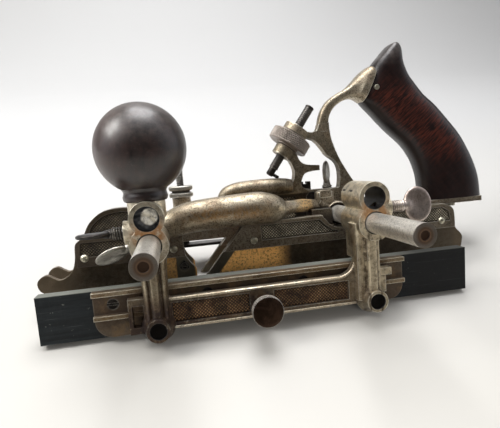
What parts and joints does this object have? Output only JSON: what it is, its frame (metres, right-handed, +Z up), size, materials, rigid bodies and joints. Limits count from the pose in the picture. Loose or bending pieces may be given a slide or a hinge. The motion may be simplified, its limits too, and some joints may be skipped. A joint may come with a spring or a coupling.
{
  "type": "combination plane",
  "caption": "Cast iron plough and beading plane: fence with ball knob, sliding section and handled stock on two round arms.",
  "frame": {"origin": "on the ground at the far edge of the main skate's sole, midway between the two arms", "axes": "+X from the toe to the heel, +Z up with the plane leaning on its fence wood as it stands on a bench, +Y away from the fence"},
  "size_m": [0.2966, 0.1578, 0.1337],
  "materials": {
    "plated_casting": "worn plating over cast iron, tarnished warm grey with brown rust at the edges",
    "dark_rail": "worn plated steel with rust",
    "skate_steel": "rust-stained steel, golden brown",
    "arm_steel": "bright turned steel with brown end faces",
    "screw_steel": "worn plated steel, bright on the rubbed faces",
    "dark_steel": "blackened steel",
    "pin_steel": "steel, slightly yellowed",
    "knob_wood": "dark polished hardwood",
    "handle_wood": "dark red-brown hardwood with an oiled sheen",
    "fence_wood": "blackened hardwood with scratches"
  },
  "bodies": {
    "main": {"main_stock": "plated_casting", "main_front_skate": "skate_steel", "main_rear_skate": "skate_steel", "main_skate_pins": "pin_steel", "main_spur_screw": "dark_steel", "front_arm": "arm_steel", "rear_arm": "arm_steel", "handle": "handle_wood", "handle_screws": "pin_steel", "cutter_bolt": "dark_steel"},
    "main_spur": {"main_spur": "dark_steel"},
    "front_arm_screw": {"front_arm_screw": "screw_steel"},
    "rear_arm_screw": {"rear_arm_screw": "screw_steel"},
    "adjusting_wheel": {"adjusting_wheel": "screw_steel"},
    "adjusting_rod": {"adjusting_rod": "dark_steel"},
    "cutter_wing_nut": {"cutter_wing_nut": "dark_steel"},
    "depth_gauge": {"depth_gauge": "pin_steel"},
    "gauge_nut": {"gauge_nut": "screw_steel"},
    "sliding": {"sliding_section": "plated_casting", "sliding_front_skate": "skate_steel", "sliding_rear_skate": "skate_steel", "sliding_skate_pins": "pin_steel", "sliding_set_screw": "screw_steel", "sliding_spur_screw": "dark_steel"},
    "sliding_spur": {"sliding_spur": "dark_steel"},
    "sliding_front_screw": {"sliding_front_screw": "screw_steel"},
    "fence": {"fence_casting": "plated_casting", "front_knob": "knob_wood", "knob_stud": "pin_steel", "bore_plug": "screw_steel"},
    "front_fence_screw": {"front_fence_screw": "screw_steel"},
    "rear_fence_screw": {"rear_fence_screw": "screw_steel"},
    "fence_adjust_screw": {"fence_adjust_screw": "dark_steel"},
    "rail": {"fence_rail": "dark_rail", "guide_pins": "pin_steel", "fence_wood": "fence_wood", "wood_screws": "pin_steel"}
  },
  "joints": [
    {"name": "fence_slide", "type": "slide", "parent": "main", "child": "fence", "axis": [0, 0.9296, -0.3686], "range_m": [-0.03, 0.0015]},
    {"name": "front_fence_screw_turn", "type": "hinge", "parent": "fence", "child": "front_fence_screw", "pos_m": [-0.0708, -0.04493, 0.05869], "axis": [-1, 0, 0], "range_deg": [0, 360]},
    {"name": "rear_fence_screw_turn", "type": "hinge", "parent": "fence", "child": "rear_fence_screw", "pos_m": [0.0708, -0.04493, 0.05869], "axis": [1, 0, 0], "range_deg": [0, 360]},
    {"name": "fence_adjust_screw_turn", "type": "hinge", "parent": "fence", "child": "fence_adjust_screw", "pos_m": [-0.0034, -0.07583, 0.02146], "axis": [0, -0.9296, 0.3686], "range_deg": [0, 1705]},
    {"name": "rail_slide", "type": "slide", "parent": "fence", "child": "rail", "axis": [0, 0.9296, -0.3686], "range_m": [0, 0.006]},
    {"name": "sliding_section_slide", "type": "slide", "parent": "main", "child": "sliding", "axis": [0, 0.9296, -0.3686], "range_m": [-0.0015, 0.002]},
    {"name": "sliding_front_screw_turn", "type": "hinge", "parent": "sliding", "child": "sliding_front_screw", "pos_m": [-0.0588, -0.02388, 0.04314], "axis": [-0.9354, -0.1303, -0.3286], "range_deg": [0, 360]},
    {"name": "sliding_spur_turn", "type": "hinge", "parent": "sliding", "child": "sliding_spur", "pos_m": [-0.0426, -0.02102, 0.01942], "axis": [0, -0.9296, 0.3686], "range_deg": [-180, 180]},
    {"name": "main_spur_turn", "type": "hinge", "parent": "main", "child": "main_spur", "pos_m": [-0.0426, 0.0038, 0.00958], "axis": [0, 0.9296, -0.3686], "range_deg": [-180, 180]},
    {"name": "front_arm_screw_turn", "type": "hinge", "parent": "main", "child": "front_arm_screw", "pos_m": [-0.0588, 0.01751, 0.04254], "axis": [0, 0.3686, 0.9296], "range_deg": [0, 360]},
    {"name": "rear_arm_screw_turn", "type": "hinge", "parent": "main", "child": "rear_arm_screw", "pos_m": [0.0588, 0.01751, 0.04254], "axis": [0, 0.3686, 0.9296], "range_deg": [0, 360]},
    {"name": "adjusting_wheel_turn", "type": "hinge", "parent": "main", "child": "adjusting_wheel", "pos_m": [0.0285, 0.02415, 0.0696], "axis": [0.5878, 0.2982, 0.7521], "range_deg": [-1697, 425]},
    {"name": "adjusting_rod_slide", "type": "slide", "parent": "main", "child": "adjusting_rod", "axis": [0.5878, 0.2982, 0.7521], "range_m": [-0.0015, 0.006]},
    {"name": "cutter_wing_nut_turn", "type": "hinge", "parent": "main", "child": "cutter_wing_nut", "pos_m": [0.0455, 0.02248, 0.03648], "axis": [0, 0.9296, -0.3686], "range_deg": [0, 360]},
    {"name": "gauge_nut_turn", "type": "hinge", "parent": "main", "child": "gauge_nut", "pos_m": [-0.04, 0.02473, 0.04312], "axis": [0, 0.3686, 0.9296], "range_deg": [-1700, 3118]},
    {"name": "depth_gauge_slide", "type": "slide", "parent": "main", "child": "depth_gauge", "axis": [0, 0.3686, 0.9296], "range_m": [-0.011, 0.006]}
  ],
  "couplings": [
    {"joint": "fence_adjust_screw_turn", "follows": "rail_slide", "rad_per_m": 4950.5},
    {"joint": "adjusting_rod_slide", "follows": "adjusting_wheel_turn", "m_per_rad": -0.000202},
    {"joint": "depth_gauge_slide", "follows": "gauge_nut_turn", "m_per_rad": -0.000202}
  ]
}
